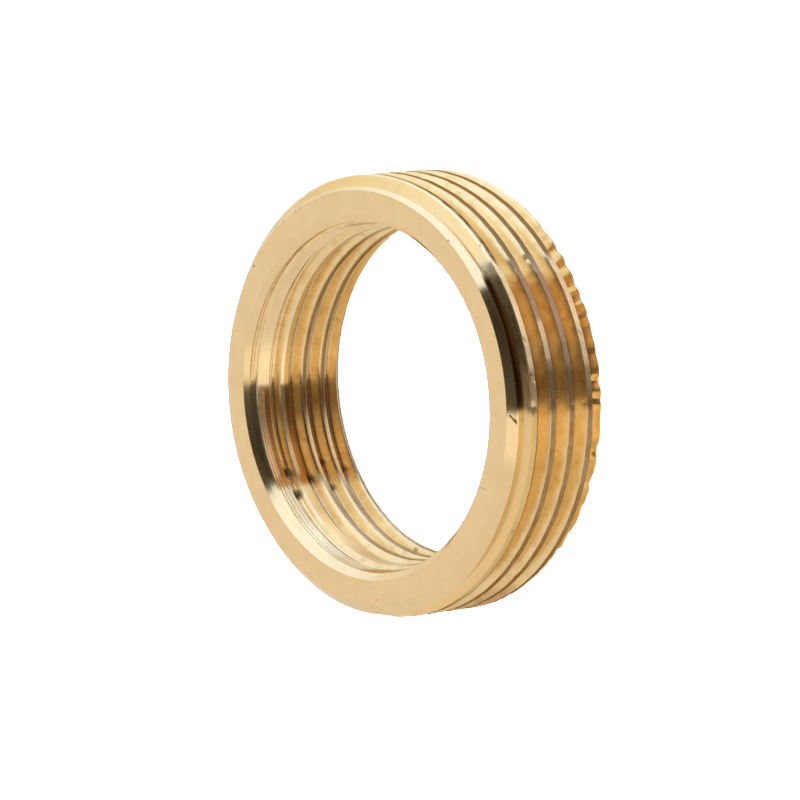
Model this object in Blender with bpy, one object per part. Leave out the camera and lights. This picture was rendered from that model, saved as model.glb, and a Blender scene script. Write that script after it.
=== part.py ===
"""Reducing bushing: a short brass ring with a male pipe thread outside and a
female pipe thread inside, turned from one piece.

The ring stands on its rear end face. +Z runs along its axis towards the front
face, and the origin is the centre of the rear face. All driving dimensions are
in millimetres and are turned into metres by MM.
"""

import math

import bmesh
import bpy
from mathutils import Vector

MM = 0.001

# ---------------------------------------------------------------- dimensions
LENGTH = 11.15            # rear face to front face

PITCH = 2.309             # 11 threads to the inch, outside and inside
FLANK_ANGLE = 27.5        # half of the 55 degree thread angle

OUTER_CREST_R = 20.75     # male thread, 1 1/4 size: crests are 41.5 across
OUTER_ROOT_R = 19.476
OUTER_LAND = 0.65         # flat left on the crest
OUTER_CREST_Z = 0.256     # height of a crest's middle at azimuth 0

INNER_CREST_R = 15.62     # female thread, 1 inch size, bored a little large
INNER_ROOT_R = 16.65
INNER_LAND = 0.60
INNER_CREST_Z = 1.843

FRONT_FACE_OUTER_R = 19.35    # the wide front chamfer ends here
FRONT_FACE_INNER_R = 17.04    # the front countersink starts here
REAR_CHAMFER = 0.60           # 45 degree chamfer on the rear crest
REAR_COUNTERSINK = 0.60       # 45 degree countersink on the rear of the bore

LEAD_IN_R = 16.40             # the bore's gentle lead-in taper starts here,
LEAD_IN_DEPTH = 0.64          # this far below the front face,
LEAD_IN_SLOPE = 0.16          # and closes by this much for each mm of depth

SEGMENTS = 64                 # facets in a full turn
RUN_OUT = 0.75                # turns that each thread tool runs past the ends

BRASS = (0.79, 0.56, 0.27)


# ------------------------------------------------------------------- helpers
def clear_scene():
    for obj in list(bpy.data.objects):
        bpy.data.objects.remove(obj, do_unlink=True)


def link(name, mesh):
    obj = bpy.data.objects.new(name, mesh)
    bpy.context.scene.collection.objects.link(obj)
    return obj


def brass_material():
    mat = bpy.data.materials.new("polished_brass")
    mat.use_nodes = True
    shader = mat.node_tree.nodes["Principled BSDF"]
    shader.inputs["Base Color"].default_value = (*BRASS, 1.0)
    shader.inputs["Metallic"].default_value = 1.0
    shader.inputs["Roughness"].default_value = 0.18
    return mat


def section_face(bm, points):
    """A filled outline in the XZ plane, given as (radius, height) in mm."""
    verts = [bm.verts.new(Vector((r * MM, 0.0, z * MM))) for r, z in points]
    return bm.faces.new(verts)


def outward(bm):
    bmesh.ops.recalc_face_normals(bm, faces=bm.faces[:])


def turned_ring(name, points):
    """The outline revolved once about Z into a closed ring."""
    bm = bmesh.new()
    face = section_face(bm, points)
    outline = [*face.edges, *face.verts]
    bmesh.ops.delete(bm, geom=[face], context="FACES_ONLY")
    bmesh.ops.spin(
        bm, geom=outline, cent=(0, 0, 0), axis=(0, 0, 1), dvec=(0, 0, 0),
        angle=2.0 * math.pi, steps=SEGMENTS, use_merge=True,
        use_duplicate=False)
    outward(bm)
    mesh = bpy.data.meshes.new(name)
    bm.to_mesh(mesh)
    bm.free()
    return link(name, mesh)


def helical_groove(name, points, middle_z):
    """The outline swept up a right-hand helix of one pitch a turn.

    middle_z is the height of the groove's middle at azimuth 0. The sweep
    starts a little below the rear face and ends a little above the front
    face, so both ends of the solid lie clear of the ring.
    """
    turns_below = math.ceil((middle_z + RUN_OUT * PITCH) / PITCH)
    start = middle_z - turns_below * PITCH
    turns = math.ceil((LENGTH + RUN_OUT * PITCH - start) / PITCH)
    bm = bmesh.new()
    face = section_face(bm, [(r, z + start) for r, z in points])
    bmesh.ops.spin(
        bm, geom=[face, *face.edges, *face.verts], cent=(0, 0, 0),
        axis=(0, 0, 1), dvec=(0, 0, PITCH * MM / SEGMENTS),
        angle=2.0 * math.pi * turns, steps=SEGMENTS * turns,
        use_merge=False, use_duplicate=False)
    outward(bm)
    mesh = bpy.data.meshes.new(name)
    bm.to_mesh(mesh)
    bm.free()
    obj = link(name, mesh)
    obj.hide_render = True
    obj.display_type = "WIRE"
    return obj


def cut(target, cutter):
    mod = target.modifiers.new(cutter.name, "BOOLEAN")
    mod.operation = "DIFFERENCE"
    mod.solver = "EXACT"
    mod.object = cutter


def apply_modifiers(obj):
    """Settle the cuts into the mesh, so that its new edges can be creased."""
    depsgraph = bpy.context.evaluated_depsgraph_get()
    mesh = bpy.data.meshes.new_from_object(obj.evaluated_get(depsgraph))
    obj.modifiers.clear()
    obj.data = mesh
    mesh.name = obj.name


# ------------------------------------------------------------------ sections
def ring_outline():
    """Half of the turned blank's section, before the threads are cut."""
    front_chamfer = OUTER_CREST_R - FRONT_FACE_OUTER_R
    lead_in_end = LEAD_IN_DEPTH + (LEAD_IN_R - INNER_CREST_R) / LEAD_IN_SLOPE
    return [
        (FRONT_FACE_INNER_R, LENGTH),
        (FRONT_FACE_OUTER_R, LENGTH),
        (OUTER_CREST_R, LENGTH - front_chamfer),
        (OUTER_CREST_R, REAR_CHAMFER),
        (OUTER_CREST_R - REAR_CHAMFER, 0.0),
        (INNER_CREST_R + REAR_COUNTERSINK, 0.0),
        (INNER_CREST_R, REAR_COUNTERSINK),
        (INNER_CREST_R, LENGTH - lead_in_end),
        (LEAD_IN_R, LENGTH - LEAD_IN_DEPTH),
    ]


def groove_outline(crest_r, root_r, land):
    """Section of the groove between two crests, about its own middle.

    The groove opens outwards when crest_r is larger than root_r and inwards
    otherwise. Past the crest its sides run straight, clear of the next turn.
    """
    side = 1.0 if crest_r > root_r else -1.0
    half_mouth = (PITCH - land) / 2.0
    flank = math.tan(math.radians(FLANK_ANGLE)) * abs(crest_r - root_r)
    half_root = half_mouth - flank
    lift = 0.25
    half_open = half_mouth + lift * math.tan(math.radians(FLANK_ANGLE))
    return [
        (root_r, -half_root),
        (crest_r + side * lift, -half_open),
        (crest_r + side * 1.2, -half_open),
        (crest_r + side * 1.2, half_open),
        (crest_r + side * lift, half_open),
        (root_r, half_root),
    ]


# --------------------------------------------------------------------- build
def main():
    clear_scene()
    bushing = turned_ring("reducing_bushing", ring_outline())
    bushing.data.materials.append(brass_material())

    outer = helical_groove(
        "male_thread_groove",
        groove_outline(OUTER_CREST_R, OUTER_ROOT_R, OUTER_LAND),
        OUTER_CREST_Z + PITCH / 2.0)
    inner = helical_groove(
        "female_thread_groove",
        groove_outline(INNER_CREST_R, INNER_ROOT_R, INNER_LAND),
        INNER_CREST_Z + PITCH / 2.0)
    cut(bushing, outer)
    cut(bushing, inner)
    apply_modifiers(bushing)

    bushing.data.shade_smooth()
    bushing.data.set_sharp_from_angle(angle=math.radians(20.0))
    bpy.context.view_layer.update()


main()
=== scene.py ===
"""Looks for the reducing bushing: one polished brass ring on a pale floor.

The CAD ring is stood for by a finer mesh of the same sections, with rounded
crests and roots, small machining marks and nicks, and a brass material.
Lengths are in millimetres until the last step, which turns them into metres.
"""

import math

import bmesh
import bpy
import numpy as np
from mathutils import Matrix, Vector


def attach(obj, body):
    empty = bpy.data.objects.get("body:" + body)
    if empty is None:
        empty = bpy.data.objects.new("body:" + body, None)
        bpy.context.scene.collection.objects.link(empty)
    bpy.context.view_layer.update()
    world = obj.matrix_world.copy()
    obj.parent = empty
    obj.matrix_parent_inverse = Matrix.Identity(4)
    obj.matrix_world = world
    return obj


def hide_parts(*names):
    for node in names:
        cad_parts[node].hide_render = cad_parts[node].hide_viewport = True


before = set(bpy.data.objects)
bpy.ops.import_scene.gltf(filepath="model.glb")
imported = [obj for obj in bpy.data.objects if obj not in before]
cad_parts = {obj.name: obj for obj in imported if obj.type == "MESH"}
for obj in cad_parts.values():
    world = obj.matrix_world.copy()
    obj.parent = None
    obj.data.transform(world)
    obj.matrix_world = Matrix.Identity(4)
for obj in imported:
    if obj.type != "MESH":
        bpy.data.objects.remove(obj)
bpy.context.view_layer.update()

MM = 0.001
TAU = 2.0 * math.pi

# ------------------------------------------------------- dimensions, as in CAD
LENGTH = 11.15
PITCH = 2.309
FLANK = math.radians(62.5)        # from a land's surface normal to a flank's
LEAN = 65.0 / 62.5                # the cutter's wear leaves flanks a little steeper

OUTER = dict(side=1, z0=0.256, crest=20.75, root=19.476, land=0.65,
             crest_round=0.05, root_round=0.22, flank_rows=3)
INNER = dict(side=-1, z0=1.843, crest=15.62, root=16.65, land=0.60,
             crest_round=0.28, root_round=0.40, flank_rows=2)

FACE_OUT = 19.35                  # front face, out to the wide chamfer
FACE_IN = 17.04                   # and in to the countersink
FACE_EDGE = 0.08                  # small radius on both edges of the face
REAR_OUT = 20.15                  # 45 degree chamfer at the rear crest
REAR_IN = 16.22                   # 45 degree countersink at the rear
LEAD_R, LEAD_S, LEAD_SLOPE = 16.40, 0.64, 0.16

STATIONS = 480

THREAD_OUT, CHAMFER, REAR_CHAMFER, THREAD_IN, SINK, LEAD, REAR_SINK, FRONT, REAR = range(9)


# ------------------------------------------------------------- thread sections
class Thread:
    """One turn's section: radius and surface angle over u, the distance
    along the axis from the middle of the crest."""

    def __init__(self, side, z0, crest, root, land, crest_round, root_round, flank_rows):
        self.side, self.z0, self.crest = side, z0, crest
        depth = abs(crest - root)
        tan = math.tan(FLANK)
        half_land = land / 2.0
        foot = half_land + depth / tan
        tip = crest_round * math.tan(FLANK / 2.0)
        toe = root_round * math.tan(FLANK / 2.0)
        us, ds, angles = [0.0], [0.0], [0.0]
        for a in (0.0, FLANK / 2.0, FLANK):
            us.append(half_land - tip + crest_round * math.sin(a))
            ds.append(crest_round * (1.0 - math.cos(a)))
            angles.append(a)
        u1, d1 = us[-1], ds[-1]
        u2 = foot + toe - root_round * math.sin(FLANK)
        d2 = depth - root_round * (1.0 - math.cos(FLANK))
        for k in range(1, flank_rows + 1):
            t = k / (flank_rows + 1.0)
            us.append(u1 + (u2 - u1) * t)
            ds.append(d1 + (d2 - d1) * t)
            angles.append(FLANK)
        for a in (FLANK, FLANK / 2.0, 0.0):
            us.append(foot + toe - root_round * math.sin(a))
            ds.append(depth - root_round * (1.0 - math.cos(a)))
            angles.append(a)
        us = np.array(us)
        ds = np.array(ds)
        angles = np.array(angles)
        self.rows = np.concatenate([-us[:0:-1], us])
        self.keys = np.concatenate([[-PITCH / 2.0], self.rows, [PITCH / 2.0]])
        self.radii = crest - side * np.concatenate(
            [[depth], ds[:0:-1], ds, [depth]])
        self.angles = LEAN * np.concatenate([[0.0], -angles[:0:-1], angles, [0.0]])
        self.half_land = half_land
        self.depth = depth

    def u(self, phi, z):
        """Distance from the nearest crest middle, and that crest's number."""
        t = z - self.z0 - PITCH * phi / TAU
        k = np.round(t / PITCH)
        return t - k * PITCH, k

    def radius(self, u):
        return np.interp(u, self.keys, self.radii)

    def angle(self, u):
        return np.interp(u, self.keys, self.angles)


outer, inner = Thread(**OUTER), Thread(**INNER)

EDGE_SET = FACE_EDGE * math.tan(math.radians(22.5))
EDGE_DROP = FACE_EDGE * (1.0 - math.cos(math.radians(45.0)))
EDGE_MID = FACE_EDGE * (1.0 - math.cos(math.radians(22.5)))


def edge_run(s):
    """How far the 45 degree cut has run out from the face at depth s."""
    if s >= EDGE_DROP:
        return s
    return -EDGE_SET + math.sqrt(max(FACE_EDGE ** 2 - (FACE_EDGE - s) ** 2, 0.0))


def front_out(z):
    return FACE_OUT + edge_run(LENGTH - z)


def front_in(z):
    s = LENGTH - z
    if s <= LEAD_S:
        return FACE_IN - edge_run(s)
    return LEAD_R - LEAD_SLOPE * (s - LEAD_S)


# ------------------------------------------------------------------- ring mesh
class Builder:
    """Collects vertices as (azimuth, height, thread radius) and polygons."""

    def __init__(self):
        self.phi, self.z, self.rt, self.pos = [], [], [], {}
        self.polys, self.kinds = [], []
        self.cuts = {}

    def vertex(self, phi, z, rt):
        self.phi.append(phi)
        self.z.append(z)
        self.rt.append(rt)
        return len(self.z) - 1

    def split(self, poly, value, tag, exact=None):
        """Parts of the polygon where value is above and below zero."""
        vals = [value(v) for v, _ in poly]
        if min(vals) >= 0.0:
            return poly, None
        if max(vals) <= 0.0:
            return None, poly
        above, below = [], []
        for k, (p, a) in enumerate(zip(poly, vals)):
            q, b = poly[(k + 1) % len(poly)], vals[(k + 1) % len(poly)]
            if a >= 0.0:
                above.append(p)
            if a <= 0.0:
                below.append(p)
            if a * b < 0.0:
                t = a / (a - b)
                phi = p[1] + (q[1] - p[1]) * t
                key = (min(p[0], q[0]), max(p[0], q[0]), tag)
                if key not in self.cuts:
                    z = self.z[p[0]] + (self.z[q[0]] - self.z[p[0]]) * t
                    rt = self.rt[p[0]] + (self.rt[q[0]] - self.rt[p[0]]) * t
                    self.cuts[key] = self.vertex(
                        phi % TAU, z if exact is None else exact, rt)
                m = (self.cuts[key], phi)
                above.append(m)
                below.append(m)
        return (above if len(above) > 2 else None,
                below if len(below) > 2 else None)

    def add(self, poly, kind):
        if poly:
            self.polys.append([v for v, _ in poly])
            self.kinds.append(kind)

    def side_wall(self, thread, regions, planes):
        """The threaded wall between the two end faces. regions turns a
        polygon into parts with kinds, planes are heights to cut at."""
        first = len(self.z)
        k_low, k_high = -3, int(LENGTH / PITCH) + 3
        offsets = np.concatenate(
            [thread.rows + k * PITCH for k in range(k_low, k_high + 1)])
        radii = np.tile(thread.radii[1:-1], k_high - k_low + 1)
        per_turn, total = len(thread.rows), len(offsets)
        stations = np.arange(STATIONS)
        zs = thread.z0 + offsets[None, :] + PITCH * stations[:, None] / STATIONS
        phis = np.repeat(stations * TAU / STATIONS, total)
        self.phi.extend(phis.tolist())
        self.z.extend(zs.ravel().tolist())
        self.rt.extend(np.tile(radii, STATIONS).tolist())
        for i in range(STATIONS):
            p0, p1 = i * TAU / STATIONS, (i + 1) * TAU / STATIONS
            row0 = first + i * total
            if i + 1 < STATIONS:
                row1, shift = first + (i + 1) * total, 0
            else:
                row1, shift = first, per_turn
            for j in range(total - 1 - shift):
                a, b = row0 + j, row1 + j + shift
                if self.z[b + 1] <= 0.0 or self.z[a] >= LENGTH:
                    continue
                cell = [(a, p0), (b, p1), (b + 1, p1), (a + 1, p0)]
                low, high = self.z[a], self.z[b + 1]
                if low < 0.0:
                    cell, _ = self.split(cell, lambda v: self.z[v], "bottom", 0.0)
                if cell and high > LENGTH:
                    cell, _ = self.split(
                        cell, lambda v: LENGTH - self.z[v], "top", LENGTH)
                parts = [cell] if cell else []
                for h in planes:
                    if low < h < high:
                        parts = [half for part in parts for half in self.split(
                            part, lambda v: self.z[v] - h, ("plane", h), h) if half]
                for part in parts:
                    regions(part, low, high)

    def outer_region(self, part, low, high):
        if high > LENGTH - (outer.crest - FACE_OUT) - 0.05:
            part, cone = self.split(
                part, lambda v: front_out(self.z[v]) - self.rt[v], "chamfer")
            self.add(cone, CHAMFER)
        if part and low < outer.crest - REAR_OUT + 0.05:
            part, cone = self.split(
                part, lambda v: REAR_OUT + self.z[v] - self.rt[v], "rear chamfer")
            self.add(cone, REAR_CHAMFER)
        self.add(part, THREAD_OUT)

    def inner_region(self, part, low, high):
        lead_end = LENGTH - LEAD_S - (LEAD_R - inner.crest) / LEAD_SLOPE
        if high > lead_end - 0.05:
            part, cone = self.split(
                part, lambda v: self.rt[v] - front_in(self.z[v]), "mouth")
            if cone:
                middle = sum(self.z[v] for v, _ in cone) / len(cone)
                self.add(cone, SINK if middle > LENGTH - LEAD_S else LEAD)
        if part and low < REAR_IN - inner.crest + 0.05:
            part, cone = self.split(
                part, lambda v: self.rt[v] - (REAR_IN - self.z[v]), "rear sink")
            self.add(cone, REAR_SINK)
        self.add(part, THREAD_IN)

    def end_face(self, height, outer_ids, inner_ids, radii, kind):
        """A flat ring at one end, joined to both walls' boundaries."""
        def by_station(ids):
            ids = sorted(ids, key=lambda v: self.phi[v])
            groups = [[] for _ in range(STATIONS)]
            for v in ids:
                groups[min(int(self.phi[v] / TAU * STATIONS + 1e-7), STATIONS - 1)].append(v)
            return groups
        out, inn = by_station(outer_ids), by_station(inner_ids)
        rings = []
        for r in radii:
            ring = [self.vertex(i * TAU / STATIONS, height, r) for i in range(STATIONS)]
            for v in ring:
                self.pos[v] = r
            rings.append(ring)
        flip = kind == REAR
        for i in range(STATIONS):
            n = (i + 1) % STATIONS
            strips = [[inn[i][0], rings[0][i], rings[0][n], inn[n][0], *inn[i][:0:-1]]]
            for lower, upper in zip(rings, rings[1:]):
                strips.append([lower[i], upper[i], upper[n], lower[n]])
            strips.append([rings[-1][i], *out[i], out[n][0], rings[-1][n]])
            for s in strips:
                self.polys.append(s[::-1] if flip else s)
                self.kinds.append(kind)


def build_base():
    """Vertex places in millimetres, polygons and their kinds."""
    b = Builder()
    b.side_wall(outer, b.outer_region, (LENGTH - EDGE_DROP, LENGTH - EDGE_MID))
    outer_count, outer_polys = len(b.z), len(b.polys)
    b.side_wall(inner, b.inner_region,
                (LENGTH - LEAD_S, LENGTH - EDGE_DROP, LENGTH - EDGE_MID))
    inner_count = len(b.z)
    used = sorted({v for p in b.polys for v in p})
    top = [v for v in used if b.z[v] == LENGTH]
    bottom = [v for v in used if b.z[v] == 0.0]
    for k in range(outer_polys, len(b.polys)):
        b.polys[k] = b.polys[k][::-1]
    b.end_face(LENGTH, [v for v in top if v < outer_count],
               [v for v in top if outer_count <= v < inner_count],
               np.linspace(FACE_IN + 0.25, FACE_OUT - 0.25, 6), FRONT)
    b.end_face(0.0, [v for v in bottom if v < outer_count],
               [v for v in bottom if outer_count <= v < inner_count],
               np.linspace(16.95, 19.2, 3), REAR)
    phi, z, rt = np.array(b.phi), np.array(b.z), np.array(b.rt)
    r = np.zeros_like(z)
    for v in range(len(z)):
        if v in b.pos:
            r[v] = b.pos[v]
        elif v < outer_count:
            r[v] = min(rt[v], front_out(z[v]), REAR_OUT + z[v])
        else:
            r[v] = max(rt[v], front_in(z[v]), REAR_IN - z[v])
    used = np.array(sorted({v for p in b.polys for v in p}))
    index = np.full(len(z), -1)
    index[used] = np.arange(len(used))
    co = np.stack([r * np.cos(phi), r * np.sin(phi), z], axis=1)[used]
    polys = [[int(index[v]) for v in p] for p in b.polys]
    return co, polys, b.kinds


def tidy(co, polys, kinds):
    """Merges vertices that nearly touch, where creases cross the rows."""
    mesh = bpy.data.meshes.new("ring")
    mesh.from_pydata(co.tolist(), [], polys)
    mesh.polygons.foreach_set("material_index", np.zeros(len(polys), np.int32))
    kind = mesh.attributes.new("kind", "INT", "FACE")
    kind.data.foreach_set("value", np.array(kinds, np.int32))
    bm = bmesh.new()
    bm.from_mesh(mesh)
    bmesh.ops.remove_doubles(bm, verts=bm.verts[:], dist=0.008)
    bmesh.ops.dissolve_degenerate(bm, edges=bm.edges[:], dist=1e-5)
    bm.to_mesh(mesh)
    bm.free()
    return mesh


# ----------------------------------------------------------- small-scale marks
def ease(x, low, high):
    """Zero at low, one at high, smooth between."""
    t = np.clip((x - low) / (high - low), 0.0, 1.0)
    return t * t * (3.0 - 2.0 * t)


def ripple(phi, low, high, count, seed):
    """A random closed curve round the ring, between about -1 and 1."""
    rng = np.random.default_rng(seed)
    out = np.zeros_like(phi)
    for n in rng.integers(low, high, count):
        out += np.sin(n * phi + rng.uniform(0.0, TAU))
    return out / math.sqrt(count)


# knocks on the rear rim: azimuth in degrees, depth in mm, half width in degrees
KNOCKS = [(-66.0, 0.30, 1.3), (-70.4, 0.27, 1.1), (-60.8, 0.24, 1.2), (-55.5, 0.20, 1.4),
          (-75.6, 0.14, 1.2), (-80.3, 0.16, 1.8), (-85.3, 0.14, 1.3), (-92.5, 0.38, 1.1),
          (-97.6, 0.12, 1.2), (-102.3, 0.14, 2.2), (-110.8, 0.30, 1.4), (-119.8, 0.30, 1.6),
          (-127.8, 0.20, 1.5), (-137.3, 0.26, 1.6), (-143.5, 0.24, 1.4), (-155.0, 0.14, 2.0),
          (-48.0, 0.12, 1.8), (20.0, 0.15, 1.6), (63.0, 0.18, 1.4), (104.0, 0.12, 2.0),
          (150.0, 0.16, 1.5)]


def nick_list():
    """Small random knocks on the crests: place and depth."""
    rng = np.random.default_rng(41)
    nicks = []
    for _ in range(70):
        phi = rng.uniform(-math.pi, math.pi)
        k = rng.integers(0, 5)
        side = rng.choice([-1.0, 1.0])
        z = outer.z0 + PITCH * (phi / TAU + k) + side * outer.half_land
        nicks.append((20.75 * math.cos(phi), 20.75 * math.sin(phi), z,
                      rng.uniform(0.02, 0.07), rng.uniform(0.18, 0.40)))
    return nicks


NICKS = nick_list()


def marks(p):
    """How far each point is pushed, in mm, by wear, nicks and tool marks."""
    phi = np.arctan2(p[:, 1], p[:, 0])
    r = np.hypot(p[:, 0], p[:, 1])
    z = p[:, 2]
    outside = ease(r, 18.0, 19.2)
    push = np.zeros(len(p))

    rim = ease(z, 1.7, 0.7) * ease(r, 19.3, 20.1)
    degrees = np.degrees(phi)
    knock = 0.035 * (1.0 + ripple(phi, 40, 120, 9, 5))
    for azimuth, depth, width in KNOCKS:
        away = (degrees - azimuth + 180.0) % 360.0 - 180.0
        knock += depth * np.exp(-(away / width) ** 2)
    push -= rim * knock

    crest = ease(r, 20.3, 20.7) * (1.0 - rim)
    push -= crest * 0.012 * (1.0 + ripple(phi, 30, 90, 7, 11))
    push += outside * 0.006 * ripple(phi, 5, 16, 5, 3)
    push += (1.0 - outside) * 0.005 * ripple(phi, 4, 15, 5, 8)
    for x, y, h, depth, size in NICKS:
        near = np.abs(z - h) < 3.0 * size
        d2 = (p[near, 0] - x) ** 2 + (p[near, 1] - y) ** 2 + (z[near] - h) ** 2
        push[near] -= depth * np.exp(-d2 / size ** 2)

    out = np.zeros_like(p)
    out[:, 0] = push * np.cos(phi)
    out[:, 1] = push * np.sin(phi)
    sway = 0.010 * ripple(phi, 6, 22, 6, 21) * ease(z, 0.0, 0.8) * ease(z, LENGTH, LENGTH - 0.8)
    out[:, 2] = sway * ease(r, 19.3, 19.5)
    return out


def marks_gradient(p, e=0.004):
    grad = np.zeros((len(p), 3, 3))
    for axis in range(3):
        step = np.zeros(3)
        step[axis] = e
        grad[:, :, axis] = (marks(p + step) - marks(p - step)) / (2.0 * e)
    return grad


def base_normals(p, kind):
    """Surface normals of the unmarked ring at points p on faces of a kind."""
    phi = np.arctan2(p[:, 1], p[:, 0])
    r = np.hypot(p[:, 0], p[:, 1])
    s = LENGTH - p[:, 2]
    angle = np.zeros(len(p))
    side = np.ones(len(p))
    lead = np.zeros(len(p))           # helix lean of the threads
    fillet = np.arccos(np.clip(1.0 - s / FACE_EDGE, math.cos(math.radians(45)), 1.0))
    quarter = math.radians(90.0)
    for thread, code in ((outer, THREAD_OUT), (inner, THREAD_IN)):
        m = kind == code
        u, _ = thread.u(phi[m], p[m, 2])
        angle[m] = thread.angle(u)
        if thread is inner:           # the mouth's cone runs out over this root
            turn = np.degrees(phi[m])
            over = ease(s[m], 1.02, 0.86) * ease(turn, 78.0, 84.0) * ease(turn, 178.0, 170.0)
            angle[m] += (math.radians(45.0) - angle[m]) * over
        else:                         # and so does the wide chamfer
            turn = np.degrees(phi[m])
            over = ease(s[m], 0.80, 0.66) * ease(turn, -66.0, -58.0) * ease(turn, 60.0, 20.0)
            angle[m] += (math.radians(45.0) - angle[m]) * over
        side[m] = thread.side
        lead[m] = 1.0
    for code in (CHAMFER, SINK):
        m = kind == code
        angle[m] = quarter - fillet[m]
        side[m] = 1.0 if code == CHAMFER else -1.0
    m = kind == SINK                  # deburred by hand for part of the way round
    off = (np.degrees(phi[m]) + 5.0 + 180.0) % 360.0 - 180.0
    angle[m] += math.radians(30.0) * ease(np.abs(off), 42.0, 12.0) * (angle[m] < 1.4)
    far = np.maximum(ease(off, 164.0, 176.0) * 12.0, ease(off, -135.0, -150.0) * 22.0)
    angle[m] += np.radians(far) * (angle[m] < 1.4)
    m = kind == LEAD
    angle[m] = math.atan(LEAD_SLOPE)
    side[m] = -1.0
    m = kind == REAR_CHAMFER
    angle[m] = -math.radians(45.0)
    m = kind == REAR_SINK
    angle[m] = -math.radians(45.0)
    side[m] = -1.0
    angle[kind == FRONT] = quarter
    angle[kind == REAR] = -quarter
    radial, axial = side * np.cos(angle), np.sin(angle)
    around = -lead * axial * PITCH / (TAU * np.maximum(r, 1.0))
    c, sn = np.cos(phi), np.sin(phi)
    n = np.stack([radial * c - around * sn, radial * sn + around * c, axial], axis=1)
    return n / np.linalg.norm(n, axis=1)[:, None]


def make_ring():
    mesh = tidy(*build_base())
    n_verts, n_loops, n_polys = len(mesh.vertices), len(mesh.loops), len(mesh.polygons)
    co = np.zeros(n_verts * 3)
    mesh.vertices.foreach_get("co", co)
    co = co.reshape(-1, 3)
    loop_vert = np.zeros(n_loops, np.int32)
    mesh.loops.foreach_get("vertex_index", loop_vert)
    counts = np.zeros(n_polys, np.int32)
    mesh.polygons.foreach_get("loop_total", counts)
    kinds = np.zeros(n_polys, np.int32)
    mesh.attributes["kind"].data.foreach_get("value", kinds)
    loop_kind = np.repeat(kinds, counts)
    p = co[loop_vert]
    normals = base_normals(p, loop_kind)
    grad = marks_gradient(co)[loop_vert]
    normals = normals - np.einsum("nij,ni->nj", grad, normals)
    normals /= np.linalg.norm(normals, axis=1)[:, None]

    # how polished each corner is: crest lands are dull, the end faces satin. The crest share also carries painted dark
    # reflection and painted highlight round the ring
    phi = np.arctan2(p[:, 1], p[:, 0])
    crest = np.zeros(n_loops)
    depth = np.zeros(n_loops)
    for thread, code in ((outer, THREAD_OUT), (inner, THREAD_IN)):
        m = loop_kind == code
        u, k = thread.u(phi[m], p[m, 2])
        depth[m] = np.abs(thread.radius(u) - thread.crest) / thread.depth
        turn = np.degrees(phi[m])
        height = thread.z0 + PITCH * (phi[m] / TAU + k)      # of this crest
        # past the lands' own dull skin, the crest share is painted light: the inner lands show little skin, more of it
        # low down in two sectors as painted dark reflection; on the outer first crest, the lowest turns and one patch
        # it is lowered as painted highlight
        if thread is inner:
            land = np.clip((0.31 - np.abs(u)) / 0.17, 0.0, 1.0)
            lower = ease(height, 6.9, 5.9)
            land *= (0.30 + 0.70 * lower * ease(turn, 98.0, 86.0) * ease(turn, 2.0, 28.0)
                     + 0.48 * lower * ease(turn, 112.0, 124.0))
        else:
            land = np.clip((thread.half_land + 0.01 - np.abs(u)) / 0.03, 0.0, 1.0)
            first = 0.55 + 0.25 * ease(turn, -55.0, -61.0)
            land *= 1.0 - first * ease(turn, -168.0, -150.0) * ease(height, 7.9, 8.3)
            lower = ease(height, 3.0, 2.5) * ease(turn, -98.0, -90.0) * ease(turn, -56.0, -60.0)
            patch = ease(np.abs(turn + 80.5), 6.0, 4.0) * ease(np.abs(height - 6.67), 0.8, 0.5)
            land *= 1.0 - 0.75 * lower - 0.6 * patch
        crest[m] = land
    satin = np.isin(loop_kind, (FRONT, REAR)).astype(float)
    smooth = np.isin(loop_kind, (CHAMFER, SINK, LEAD)).astype(float)
    for name, values in (("crest", crest), ("depth", depth), ("satin", satin),
                         ("smooth", smooth)):
        layer = mesh.attributes.new(name, "FLOAT", "CORNER")
        layer.data.foreach_set("value", values.astype(np.float32))

    moved = (co + marks(co)) * MM
    mesh.vertices.foreach_set("co", moved.ravel())
    mesh.update()
    mesh.polygons.foreach_set("use_smooth", np.ones(n_polys, bool))

    # crisp where two surfaces meet, smooth within each of them
    loop_edge = np.zeros(n_loops, np.int32)
    mesh.loops.foreach_get("edge_index", loop_edge)
    low = np.full(len(mesh.edges), 99)
    high = np.full(len(mesh.edges), -1)
    joined = loop_kind.copy()
    np.minimum.at(low, loop_edge, joined)
    np.maximum.at(high, loop_edge, joined)
    sharp = mesh.attributes.new("sharp_edge", "BOOLEAN", "EDGE")
    sharp.data.foreach_set("value", low != high)
    mesh.normals_split_custom_set(normals.tolist())
    mesh.attributes.remove(mesh.attributes["kind"])
    ring = bpy.data.objects.new("reducing_bushing_ring", mesh)
    bpy.context.scene.collection.objects.link(ring)
    return ring


# ------------------------------------------------------------------- materials
def node(tree, kind, x, y, **settings):
    n = tree.nodes.new(kind)
    n.location = (x, y)
    for k, v in settings.items():
        setattr(n, k, v)
    return n


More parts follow.
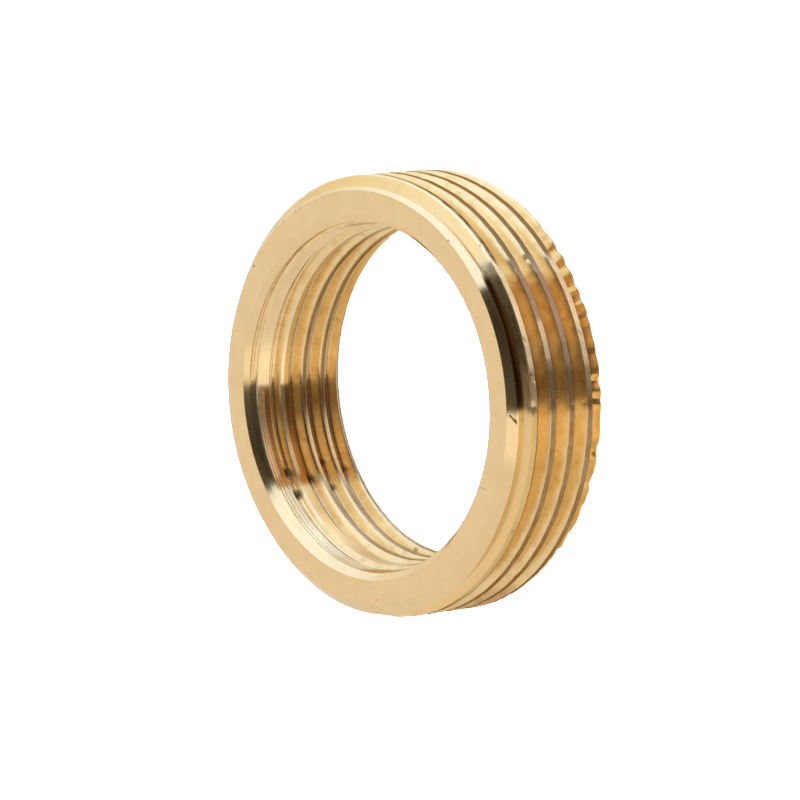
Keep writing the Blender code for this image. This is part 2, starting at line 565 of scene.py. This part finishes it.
class Graph:
    """Short hand for the nodes of one material."""

    def __init__(self, tree):
        self.tree, self.row = tree, 0

    def make(self, kind, inputs=(), **settings):
        self.row += 1
        n = node(self.tree, kind, -2400 + 180 * (self.row % 12), 900 - 160 * (self.row // 12),
                 **settings)
        for key, value in inputs:
            if isinstance(value, bpy.types.NodeSocket):
                self.tree.links.new(value, n.inputs[key])
            else:
                n.inputs[key].default_value = value
        return n

    def math(self, operation, *values):
        return self.make("ShaderNodeMath", list(enumerate(values)), operation=operation).outputs[0]

    def vector(self, operation, *values):
        n = self.make("ShaderNodeVectorMath", list(enumerate(values)), operation=operation)
        return n.outputs["Value" if operation in ("LENGTH", "DISTANCE", "DOT_PRODUCT") else 0]

    def fade(self, value, low, high, to=(0.0, 1.0)):
        n = self.make("ShaderNodeMapRange", (("Value", value), ("From Min", low),
                      ("From Max", high), ("To Min", to[0]), ("To Max", to[1])),
                      interpolation_type="SMOOTHSTEP")
        return n.outputs["Result"]

    def mix(self, fac, a, b):
        return self.make("ShaderNodeMix", ((0, fac), (6, a), (7, b)), data_type="RGBA").outputs[2]

    def blend(self, fac, a, b):
        return self.make("ShaderNodeMix", ((0, fac), (2, a), (3, b)), data_type="FLOAT").outputs[0]

    def attribute(self, name):
        return self.make("ShaderNodeAttribute", attribute_name=name).outputs["Fac"]

    def noise(self, vector, scale, detail=2.0, w=None, rough=0.5):
        inputs = [("Vector", vector), ("Scale", scale), ("Detail", detail), ("Roughness", rough)]
        if w is not None:
            inputs.append(("W", w))
        return self.make("ShaderNodeTexNoise", inputs,
                         noise_dimensions="3D" if w is None else "4D").outputs["Fac"]

    def spot(self, place, centre, size):
        return self.fade(self.vector("DISTANCE", place, centre), size, 0.3 * size)

    def line(self, place, a, b, width):
        """One near the straight mark from a to b, zero away from it."""
        a, b = Vector(a), Vector(b)
        run = b - a
        along = self.vector("DOT_PRODUCT", self.vector("SUBTRACT", place, tuple(a)),
                            tuple(run / run.length_squared))
        along = self.make("ShaderNodeClamp", (("Value", along),)).outputs[0]
        step = self.make("ShaderNodeVectorMath", ((0, tuple(run)), (3, along)),
                         operation="SCALE").outputs[0]
        near = self.vector("ADD", step, tuple(a))
        return self.fade(self.vector("DISTANCE", place, near), width, 0.3 * width)


# dark specks, and patches of painted shade, in mm: place, size and strength
SPECKS = [((13.60, 13.35, 11.15), 0.17, 0.8), ((17.35, 8.35, 11.15), 0.15, 0.5),
          ((18.1, 6.5, 11.12), 0.20, 0.4), ((18.4, 5.9, 11.12), 0.18, 0.4),
          ((18.8, 3.6, 11.1), 0.13, 0.35), ((19.1, 2.3, 11.1), 0.13, 0.35),
          ((15.39, -12.48, 10.69), 0.12, 0.35), ((13.34, -14.02, 11.12), 0.17, 0.7),
          ((0.35, -20.75, 9.08), 0.20, 0.8), ((-1.42, -20.70, 9.32), 0.20, 0.8),
          ((-13.62, -15.65, 8.8), 0.20, 0.8), ((-18.80, 1.26, 11.15), 0.24, 0.22),
          ((-14.45, 10.63, 11.15), 0.16, 0.25), ((3.1, 18.6, 11.15), 0.10, 0.3)]
SCRATCH = [(-3.05, -19.35, 10.93), (-3.45, -19.55, 10.70), (-4.00, -19.75, 10.35)]
# dark brown patches of painted shade on the inner threads
SHADE_PATCHES = [((-6.20, 15.34, 8.4), 0.80, 1.0), ((-8.40, 14.26, 8.3), 0.80, 1.0),
          ((-7.05, 14.92, 6.05), 0.85, 1.0), ((-5.57, 15.48, 3.7), 0.64, 1.0),
          ((-8.08, 14.33, 3.75), 0.64, 1.0), ((-6.49, 15.06, 1.4), 0.64, 1.0),
          ((-15.9, 3.0, 4.8), 0.66, 0.7), ((-15.2, 5.6, 6.4), 0.58, 0.7),
          ((-15.02, 6.07, 5.0), 0.70, 0.5), ((-15.22, 5.54, 2.9), 0.70, 0.5),
          ((-14.91, 6.33, 1.3), 0.60, 0.5)]


def brass():
    mat = bpy.data.materials.new("polished_brass")
    mat.use_nodes = True
    tree = mat.node_tree
    shader = tree.nodes["Principled BSDF"]
    shader.inputs["Metallic"].default_value = 1.0
    g = Graph(tree)
    where = g.make("ShaderNodeTexCoord").outputs["Object"]
    place = g.make("ShaderNodeVectorMath", ((0, where), (3, 1000.0)), operation="SCALE").outputs[0]
    parts = g.make("ShaderNodeSeparateXYZ", (("Vector", place),))
    x, y, z = parts.outputs[0], parts.outputs[1], parts.outputs[2]
    flat = g.make("ShaderNodeCombineXYZ", (("X", x), ("Y", y))).outputs[0]
    r = g.vector("LENGTH", flat)
    round_ = g.make("ShaderNodeVectorMath", ((0, flat),), operation="NORMALIZE").outputs[0]
    turn = g.math("DIVIDE", g.math("ARCTAN2", y, x), TAU)
    crest, satin = g.attribute("crest"), g.attribute("satin")
    smooth, depth = g.attribute("smooth"), g.attribute("depth")
    outside = g.fade(r, 17.9, 18.1)

    # height along the thread, from crest to crest, for marks that follow it
    middle = g.blend(outside, inner.z0, outer.z0)
    climb = g.math("SUBTRACT", g.math("SUBTRACT", z, middle), g.math("MULTIPLY", turn, PITCH))
    pass_ = g.math("PINGPONG", climb, PITCH / 2.0)
    u = g.math("WRAP", climb, PITCH / 2.0, -PITCH / 2.0)
    across = g.make("ShaderNodeCombineXYZ", (("X", r), ("Y", g.math("MULTIPLY", pass_, 0.9)))).outputs[0]
    slow = g.make("ShaderNodeVectorMath", ((0, round_), (3, 1.6)), operation="SCALE").outputs[0]
    swept = g.vector("ADD", across, slow)
    tool = g.noise(swept, 7.0, 3.0, rough=0.6)
    hairs = g.noise(swept, 22.0, 2.0)
    blotch = g.noise(place, 0.55, 3.0)
    grain = g.noise(place, 9.0, 3.0)

    # colour: clean brass, a mottled deeper gold on the flanks, painted shade at the groove roots, and brown on the
    # bar's skin of the crest lands, darkened further as painted dark reflection
    clean = g.mix(g.fade(blotch, 0.3, 0.7), (0.79, 0.56, 0.285, 1.0), (0.83, 0.59, 0.31, 1.0))
    gold = g.mix(g.fade(blotch, 0.42, 0.62), (0.84, 0.61, 0.31, 1.0), (0.82, 0.58, 0.27, 1.0))
    flank = g.math("MULTIPLY", g.fade(depth, 0.0, 0.12), g.math("SUBTRACT", 1.0, smooth))
    colour = g.mix(flank, clean, gold)
    mottle = g.math("MULTIPLY", g.fade(g.noise(place, 0.8, 2.5), 0.48, 0.72), flank)
    colour = g.mix(g.math("MULTIPLY", mottle, 0.42), colour, (0.62, 0.38, 0.13, 1.0))
    # painted shade: dark brown at the bottom of the grooves, mottled by grain, held back at the inner mouth, on the
    # right and at the front root
    root = g.math("MULTIPLY", g.fade(depth, 0.78, 0.98), g.fade(grain, 0.2, 0.6, (0.5, 0.75)))
    mouth = g.math("MULTIPLY", g.fade(z, 6.6, 7.4), g.math("SUBTRACT", 1.0, outside))
    root = g.math("MULTIPLY", root, g.fade(mouth, 0.0, 1.0, (1.0, 0.12)))
    right = g.math("MULTIPLY", g.math("MULTIPLY", g.fade(turn, -0.172, -0.160),
                                      g.fade(turn, 0.10, 0.02)), outside)
    root = g.math("MULTIPLY", root, g.fade(right, 0.0, 1.0, (1.0, 0.1)))
    front_root = g.math("MULTIPLY", g.math("MULTIPLY", g.fade(turn, -0.268, -0.275), g.fade(climb, 9.5, 9.7)),
                        outside)
    root = g.math("MULTIPLY", root, g.fade(front_root, 0.0, 1.0, (1.0, 0.3)))
    colour = g.mix(root, colour, (0.34, 0.20, 0.085, 1.0))
    # painted highlight: paler flanks deep in the grooves, on part of the right
    pale = g.math("MULTIPLY", g.math("MULTIPLY", right, flank), g.fade(depth, 0.35, 0.8))
    pale = g.math("MULTIPLY", pale, g.fade(turn, -0.05, -0.10))
    colour = g.mix(g.math("MULTIPLY", pale, 0.6), colour, (0.90, 0.70, 0.45, 1.0))
    # the crest lands' dull brown skin, darkened as painted dark reflection
    skin_and_dark_reflection = g.mix(g.fade(tool, 0.35, 0.65), (0.28, 0.155, 0.058, 1.0), (0.45, 0.26, 0.105, 1.0))
    skin_and_dark_reflection = g.mix(g.fade(blotch, 0.45, 0.65), skin_and_dark_reflection, (0.39, 0.24, 0.12, 1.0))
    # painted reflection: mauve on the crest lands in one sector
    mauve_reflection = g.math("MULTIPLY", g.fade(turn, -0.268, -0.252), g.fade(turn, -0.150, -0.166))
    skin_and_dark_reflection = g.mix(g.math("MULTIPLY", mauve_reflection, 0.8), skin_and_dark_reflection, (0.42, 0.27, 0.17, 1.0))
    # painted dark reflection: darker lands on the right, and darker inside
    skin_and_dark_reflection = g.mix(g.math("MULTIPLY", right, 0.6), skin_and_dark_reflection, (0.23, 0.13, 0.04, 1.0))
    skin_and_dark_reflection = g.mix(g.fade(outside, 0.0, 1.0, (0.5, 0.0)), skin_and_dark_reflection, (0.20, 0.10, 0.03, 1.0))
    colour = g.mix(crest, colour, skin_and_dark_reflection)
    # painted reflections on the first crest outside: golden low on the right, orange higher on the right, gilt and a
    # pale painted highlight on its top, a lighter painted band near the front root, and a thin dark band of painted
    # shade along its rear edge
    first = g.math("MULTIPLY", g.math("MULTIPLY", outside, g.fade(z, 7.4, 7.7)),
                   g.math("SUBTRACT", 1.0, g.math("MAXIMUM", smooth, satin)))
    left = g.math("MULTIPLY", g.fade(turn, -0.268, -0.275), g.fade(turn, -0.47, -0.43))
    top = g.math("SUBTRACT", 1.0, g.fade(depth, 0.02, 0.14))
    low = g.math("MULTIPLY", g.fade(turn, -0.268, -0.275), g.fade(turn, -0.499, -0.485))
    painted_flanks = g.math("MULTIPLY", first, g.math("SUBTRACT", 1.0, top))
    # painted reflection: gold on the first crest's flanks low on the right
    colour = g.mix(g.math("MULTIPLY", g.math("MULTIPLY", painted_flanks, low), 0.75), colour,
                   (0.85, 0.555, 0.24, 1.0))
    # painted highlight: a lighter band near the front root
    lip_highlight = g.math("MULTIPLY", g.math("MULTIPLY", front_root, g.fade(climb, 9.84, 10.0)), g.math("SUBTRACT", 1.0, satin))
    colour = g.mix(g.math("MULTIPLY", lip_highlight, g.fade(depth, 0.3, 0.5, (0.0, 0.9))), colour, (0.82, 0.62, 0.34, 1.0))
    # painted reflection: orange on the first crest's flanks higher on the right
    colour = g.mix(g.math("MULTIPLY", g.math("MULTIPLY", painted_flanks, right), g.fade(turn, -0.165, -0.148, (0.0, 0.75))),
                   colour, (0.76, 0.475, 0.165, 1.0))
    # painted reflection: gilt on the first crest's top low on the right
    gilt_reflection = g.math("MULTIPLY", g.math("MULTIPLY", first, left), top)
    colour = g.mix(g.math("MULTIPLY", gilt_reflection, 0.85), colour, (0.71, 0.45, 0.165, 1.0))
    # painted highlight: a pale top to the first crest higher on the right
    top_highlight = g.math("MULTIPLY", g.math("MULTIPLY", first, right), top)
    colour = g.mix(g.math("MULTIPLY", top_highlight, 0.8), colour, (0.92, 0.70, 0.42, 1.0))
    # painted shade: a thin dark band along the first crest's rear edge
    wide = g.blend(right, -0.20, 0.10)
    rear_edge_shade = g.math("MULTIPLY", g.fade(g.math("SUBTRACT", u, wide), 0.0, -0.06),
                  g.fade(u, -0.40, -0.34))
    rear_edge_shade = g.math("MULTIPLY", g.math("MULTIPLY", rear_edge_shade, first), g.math("MAXIMUM", left, right))
    rear_edge_shade = g.math("MULTIPLY", rear_edge_shade, g.fade(blotch, 0.35, 0.55, (0.75, 0.98)))
    colour = g.mix(rear_edge_shade, colour, (0.17, 0.095, 0.03, 1.0))

    # inside the mouth, painted reflections on the cut crests: orange-brown on the rear half, a pale painted highlight
    # on the front half of one crest, and gold on the lower side
    cone = g.math("MULTIPLY", g.math("MULTIPLY", smooth, g.fade(r, 16.42, 16.36)),
                  g.fade(u, 0.12, 0.02))
    second_crest_reflection = g.math("MULTIPLY", cone, g.fade(z, 8.0, 7.7))
    colour = g.mix(g.math("MULTIPLY", second_crest_reflection, 0.85), colour, (0.50, 0.26, 0.06, 1.0))
    # painted reflection: brown on the rear of the next crest in one sector
    third = g.math("MULTIPLY", g.math("MULTIPLY", cone, g.fade(z, 7.7, 8.0)),
                   g.math("MULTIPLY", g.fade(turn, 0.228, 0.238), g.fade(turn, 0.36, 0.33)))
    third = g.math("MULTIPLY", third, g.fade(u, 0.0, -0.12))
    colour = g.mix(g.math("MULTIPLY", third, 0.8), colour, (0.46, 0.26, 0.085, 1.0))
    # painted highlight: the front half of that crest made pale
    front = g.math("MULTIPLY", g.math("MULTIPLY", smooth, g.fade(r, 16.42, 16.36)),
                   g.math("MULTIPLY", g.fade(turn, 0.226, 0.236), g.fade(turn, 0.320, 0.312)))
    front = g.math("MULTIPLY", front, g.fade(u, -0.05, 0.05))
    colour = g.mix(g.math("MULTIPLY", front, 0.8), colour, (0.96, 0.88, 0.74, 1.0))
    # painted reflection: gold and orange on the lower side of the cut crests
    low_side_reflection = g.math("MULTIPLY", g.math("MULTIPLY", smooth, g.fade(r, 16.42, 16.36)),
                      g.math("MULTIPLY", g.fade(turn, 0.312, 0.322), g.fade(turn, 0.49, 0.47)))
    gold_side_reflection = g.mix(g.fade(z, 8.2, 7.9), (0.74, 0.50, 0.22, 1.0), (0.64, 0.34, 0.10, 1.0))
    colour = g.mix(g.math("MULTIPLY", low_side_reflection, g.fade(z, 8.2, 7.9, (0.7, 0.85))), colour, gold_side_reflection)

    # painted shade: dark brown on the outer flanks near the front, in one sector
    runout_shade = g.math("MULTIPLY", g.fade(z, 9.05, 9.25), g.math("MULTIPLY", outside, flank))
    runout_shade = g.math("MULTIPLY", runout_shade, g.math("MULTIPLY", g.fade(turn, -0.275, -0.268),
                                               g.fade(turn, -0.165, -0.175)))
    colour = g.mix(g.math("MULTIPLY", runout_shade, 0.75), colour, (0.30, 0.17, 0.055, 1.0))
    # painted shade: near black deep in those grooves
    groove_shade = g.math("MULTIPLY", g.math("MULTIPLY", runout_shade, g.fade(z, 9.7, 10.0)), g.fade(depth, 0.5, 0.8))
    colour = g.mix(g.math("MULTIPLY", groove_shade, 0.85), colour, (0.13, 0.075, 0.025, 1.0))
    # painted shade low on the left, towards the rear
    low_rear_shade = g.math("MULTIPLY", g.math("MULTIPLY", g.fade(z, 7.5, 5.0), outside),
                     g.math("MULTIPLY", g.fade(turn, -0.425, -0.455), g.fade(turn, -0.499, -0.485)))
    colour = g.mix(g.math("MULTIPLY", low_rear_shade, g.fade(blotch, 0.3, 0.7, (0.55, 0.85))), colour,
                   (0.42, 0.23, 0.10, 1.0))
    # specular edge tint: dull on the crest lands, and on the band of painted shade at the first crest's rear edge
    edge = g.mix(crest, (1.0, 0.97, 0.90, 1.0), (0.58, 0.39, 0.19, 1.0))
    edge = g.mix(rear_edge_shade, edge, (0.58, 0.39, 0.19, 1.0))
    tree.links.new(edge, shader.inputs["Specular Tint"])

    dark = None
    for centre, size, strength in SPECKS:
        one = g.math("MULTIPLY", g.spot(place, centre, size), strength)
        dark = one if dark is None else g.math("MAXIMUM", dark, one)
    scratch = g.math("MAXIMUM",
                     g.math("MULTIPLY", g.line(place, SCRATCH[0], SCRATCH[1], 0.11), 0.9),
                     g.line(place, SCRATCH[1], SCRATCH[2], 0.17))
    thin = g.line(place, (-9.32, -14.67, 11.15), (-9.54, -15.31, 11.15), 0.07)
    dark = g.math("MAXIMUM", dark, g.math("MAXIMUM", scratch, g.math("MULTIPLY", thin, 0.5)))
    # patches of painted shade on the inner threads, mottled by grain
    shade_patch = None
    for centre, size, strength in SHADE_PATCHES:
        one = g.math("MULTIPLY", g.spot(place, centre, size), strength)
        shade_patch = one if shade_patch is None else g.math("MAXIMUM", shade_patch, one)
    shade_patch = g.math("MULTIPLY", shade_patch, g.fade(grain, 0.30, 0.50, (0.55, 1.0)))
    dark = g.math("MAXIMUM", g.math("MULTIPLY", dark, g.fade(grain, 0.25, 0.5, (0.45, 0.9))),
                  shade_patch)
    # dark specks and the scratch, with the patches of painted shade
    colour = g.mix(dark, colour, (0.10, 0.055, 0.025, 1.0))
    tree.links.new(colour, shader.inputs["Base Color"])

    rough = g.blend(smooth, 0.165, 0.13)
    cone = g.math("MULTIPLY", smooth, g.math("SUBTRACT", 1.0, outside))
    rough = g.math("ADD", rough, g.math("MULTIPLY", g.math("MULTIPLY", cone, g.fade(r, 16.40, 16.46)), 0.07))
    rough = g.blend(crest, rough, 0.26)
    rough = g.blend(satin, rough, 0.33)
    rough = g.math("ADD", rough, g.fade(hairs, 0.3, 0.7, (-0.03, 0.05)))
    rough = g.math("ADD", rough, g.math("MULTIPLY", dark, 0.25))
    tree.links.new(rough, shader.inputs["Roughness"])

    # fine marks run round the ring, so reflections spread across them
    around = g.make("ShaderNodeTangent", direction_type="RADIAL", axis="Z").outputs["Tangent"]
    tree.links.new(around, shader.inputs["Tangent"])
    tree.links.new(g.blend(satin, 0.9, 0.0), shader.inputs["Anisotropic"])
    shader.inputs["Anisotropic Rotation"].default_value = 0.25

    # raised hair lines on the first crest inside the mouth
    lead = g.math("MULTIPLY", g.math("MULTIPLY", smooth, g.fade(r, 16.42, 16.36)),
                  g.fade(z, 8.2, 8.6))
    lead = g.math("MULTIPLY", lead, g.math("MAXIMUM", g.math("MULTIPLY", g.fade(turn, 0.225, 0.235),
                  g.fade(turn, 0.47, 0.44)), 0.35))
    comb = g.math("MULTIPLY", g.math("SINE", g.math("MULTIPLY", pass_, TAU / 0.30)), lead)
    height = g.math("ADD", g.math("MULTIPLY", tool, 0.9), g.math("MULTIPLY", hairs, 0.25))
    height = g.math("ADD", height, g.math("MULTIPLY", comb, 1.1))
    height = g.math("ADD", height, g.math("MULTIPLY", grain, g.blend(satin, 0.05, 0.25)))
    height = g.math("SUBTRACT", height, g.math("MULTIPLY", dark, 1.2))
    bump = g.make("ShaderNodeBump", (("Height", height), ("Strength", 1.0),
                                      ("Distance", 0.0000045)))
    tree.links.new(bump.outputs["Normal"], shader.inputs["Normal"])
    return mat


def plain(name, colour, roughness):
    mat = bpy.data.materials.new(name)
    mat.use_nodes = True
    shader = mat.node_tree.nodes["Principled BSDF"]
    shader.inputs["Base Color"].default_value = (*colour, 1.0)
    shader.inputs["Roughness"].default_value = roughness
    return mat


# ---------------------------------------------------------------------- studio
def camera():
    data = bpy.data.cameras.new("camera")
    data.lens = 253.17
    data.sensor_width = 36.0
    data.clip_start, data.clip_end = 0.01, 20.0
    cam = bpy.data.objects.new("camera", data)
    right = Vector((-0.11276593, -0.66388436, -0.73928439))
    up = Vector((0.99362158, -0.07534412, -0.08390125))
    back = right.cross(up)
    turn = Matrix((right, up, back)).transposed().to_4x4()
    cam.matrix_world = Matrix.Translation(
        Vector((-0.000554, -0.390830, 0.357572))) @ turn
    bpy.context.scene.collection.objects.link(cam)
    bpy.context.scene.camera = cam


def tent(world):
    """A white light tent round the ring, brighter on the right, with an open
    dark side where the camera stands. Azimuths are in degrees from +X."""
    tree = world.node_tree
    link = tree.links.new
    back = tree.nodes["Background"]
    where = node(tree, "ShaderNodeTexCoord", -2200, 0)
    split = node(tree, "ShaderNodeSeparateXYZ", -2000, 0)
    link(where.outputs["Generated"], split.inputs["Vector"])
    x, y, z = (split.outputs[k] for k in "XYZ")
    angle = node(tree, "ShaderNodeMath", -1800, 100, operation="ARCTAN2")
    link(y, angle.inputs[0])
    link(x, angle.inputs[1])
    turn = node(tree, "ShaderNodeMapRange", -1600, 100)
    turn.inputs["From Min"].default_value = -math.pi
    turn.inputs["From Max"].default_value = math.pi
    link(angle.outputs["Value"], turn.inputs["Value"])
    turn = turn.outputs["Result"]

    def panels(stops, row):
        """Brightness by azimuth, at half its value in the ramp. A third
        number above one makes a panel cooler."""
        ramp = node(tree, "ShaderNodeValToRGB", -1300, row)
        elements = ramp.color_ramp.elements
        while len(elements) < len(stops):
            elements.new(0.5)
        for e, (azimuth, value, *cool) in zip(elements, sorted(stops)):
            c = cool[0] if cool else 1.0
            e.position = (azimuth + 180.0) / 360.0
            e.color = (value / 2.0, value * c ** 0.4 / 2.0, value * c / 2.0, 1.0)
        link(turn, ramp.inputs["Fac"])
        return ramp.outputs["Color"]

    def edge(points, row):
        """Azimuth of an edge of the opening at height z, as a turn."""
        curve = node(tree, "ShaderNodeFloatCurve", -1600, row)
        line = curve.mapping.curves[0]
        while len(line.points) < len(points):
            line.points.new(0.5, 0.5)
        for q, (height, azimuth) in zip(line.points, sorted(points)):
            q.location = ((height + 1.0) / 2.0, (azimuth + 180.0) / 360.0)
            q.handle_type = "VECTOR"
        curve.mapping.update()
        height = node(tree, "ShaderNodeMapRange", -1800, row)
        height.inputs["From Min"].default_value = -1.0
        link(z, height.inputs["Value"])
        link(height.outputs["Result"], curve.inputs["Value"])
        return curve.outputs["Value"]

    def fade(value, low, high, row):
        n = node(tree, "ShaderNodeMapRange", -900, row, interpolation_type="SMOOTHSTEP")
        n.inputs["From Min"].default_value = low
        n.inputs["From Max"].default_value = high
        link(value, n.inputs["Value"])
        return n.outputs["Result"]

    def minus(a, b, row):
        n = node(tree, "ShaderNodeMath", -1100, row, operation="SUBTRACT")
        link(a, n.inputs[0])
        link(b, n.inputs[1])
        return n.outputs["Value"]

    def mix(fac, a, b, row):
        n = node(tree, "ShaderNodeMix", -500, row, data_type="RGBA")
        link(fac, n.inputs[0])
        link(a, n.inputs[6])
        link(b, n.inputs[7])
        return n.outputs[2]

    bright = mix(fade(z, 0.15, -0.25, 500), panels(TENT_WALLS, 600), panels(WALLS_LOW, 800), 600)
    dark_high = panels(OPENING_HIGH, 300)
    dark_low = panels(OPENING_LOW, 0)
    under = panels(UNDERSIDE, -300)
    left = edge(OPENING_LEFT, -600)
    right = edge(OPENING_RIGHT, -900)
    soft = 0.8 / 360.0
    inside = node(tree, "ShaderNodeMath", -700, -600, operation="MULTIPLY")
    link(fade(minus(turn, left, -600), -soft, soft, -600), inside.inputs[0])
    link(fade(minus(right, turn, -900), -soft, soft, -900), inside.inputs[1])
    dark = mix(fade(z, 0.45, 0.05, 100), dark_high, dark_low, 100)
    walls = mix(inside.outputs["Value"], bright, dark, 0)
    whole = mix(fade(z, -0.61, -0.655, -200), walls, under, -200)
    link(whole, back.inputs["Color"])
    back.inputs["Strength"].default_value = 2.0


TENT_WALLS = [(-180, 0.93), (-136, 0.93), (-131, 1.18), (-106, 1.18),
              (-38, 1.24, 1.6), (-20, 1.28, 1.7), (15, 1.27, 1.7), (38, 1.21, 1.55),
              (52, 1.11, 1.35), (66, 1.0, 1.1), (90, 0.97), (112, 0.92), (180, 0.93)]
WALLS_LOW = [(-180, 0.93), (-138, 0.98, 1.1), (-131, 1.12, 1.1), (-120, 1.42), (-106, 1.34),
             (-38, 1.30, 2.1), (-20, 1.20, 1.9), (-3, 1.54, 2.3), (13, 1.34, 2.1), (28, 1.04, 1.5),
             (42, 0.98, 1.3), (60, 1.0, 1.2), (90, 0.97), (112, 0.88), (180, 0.93)]
OPENING_HIGH = [(-180, 0.14), (-100, 0.09), (-60, 0.042, 0.85), (0, 0.12), (180, 0.20)]
OPENING_LOW = [(-180, 0.22, 0.6), (-92, 0.14, 0.45), (-82, 0.21, 0.36), (-75, 0.34, 0.30),
               (-62, 0.72, 0.36), (-48, 0.60, 0.34), (-40, 0.64, 0.40), (180, 0.72)]
UNDERSIDE = [(-180, 0.82), (-152, 1.0, 1.1), (-137, 0.82), (-121, 0.75), (-105, 0.58),
             (-88, 0.42), (-79, 1.05, 1.4), (-58, 1.45, 1.4), (-42, 1.38, 1.3), (-29, 1.2, 0.85),
             (-9, 0.70, 0.6), (7, 0.78, 0.75), (23, 1.0), (39, 1.42), (55, 1.85, 1.1), (80, 1.3),
             (105, 0.75), (120, 0.60), (143, 0.82), (160, 0.78), (180, 0.80)]
OPENING_LEFT = [(-1.0, -104), (-0.44, -104), (0.70, -106.5), (0.87, -112), (0.94, -121),
                (0.98, -138), (1.0, -160)]
OPENING_RIGHT = [(-1.0, -40), (0.0, -39), (0.64, -38.3), (0.77, -31), (0.90, 2),
                 (0.966, 45), (1.0, 75)]


def softbox(name, centre, size, power):
    """A large soft light for the floor, kept out of the brass's reflections."""
    light = bpy.data.lights.new(name, "AREA")
    light.shape = "RECTANGLE"
    light.size, light.size_y = size
    light.energy = power
    obj = bpy.data.objects.new(name, light)
    obj.location = centre
    obj.rotation_mode = "QUATERNION"
    obj.rotation_quaternion = Vector(centre).to_track_quat("Z", "Y")
    obj.visible_glossy = False
    bpy.context.scene.collection.objects.link(obj)
    return obj


def studio():
    floor = bpy.data.meshes.new("floor")
    floor.from_pydata([(-6, -6, 0), (6, -6, 0), (6, 6, 0), (-6, 6, 0)], [], [(0, 1, 2, 3)])
    floor.materials.append(plain("pale_floor", (0.88, 0.88, 0.88), 0.9))
    ground = bpy.data.objects.new("floor", floor)
    ground.visible_glossy = False
    bpy.context.scene.collection.objects.link(ground)

    world = bpy.data.worlds.new("studio")
    world.use_nodes = True
    tent(world)
    bpy.context.scene.world = world
    bpy.context.scene.view_settings.view_transform = "Standard"
    softbox("floor_light", (0.0, 0.1, 1.2), (1.6, 1.6), 240.0)


# ------------------------------------------------------------------------ main
ring = make_ring()
ring.data.materials.append(brass())
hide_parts("reducing_bushing")
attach(ring, "root")
camera()
studio()
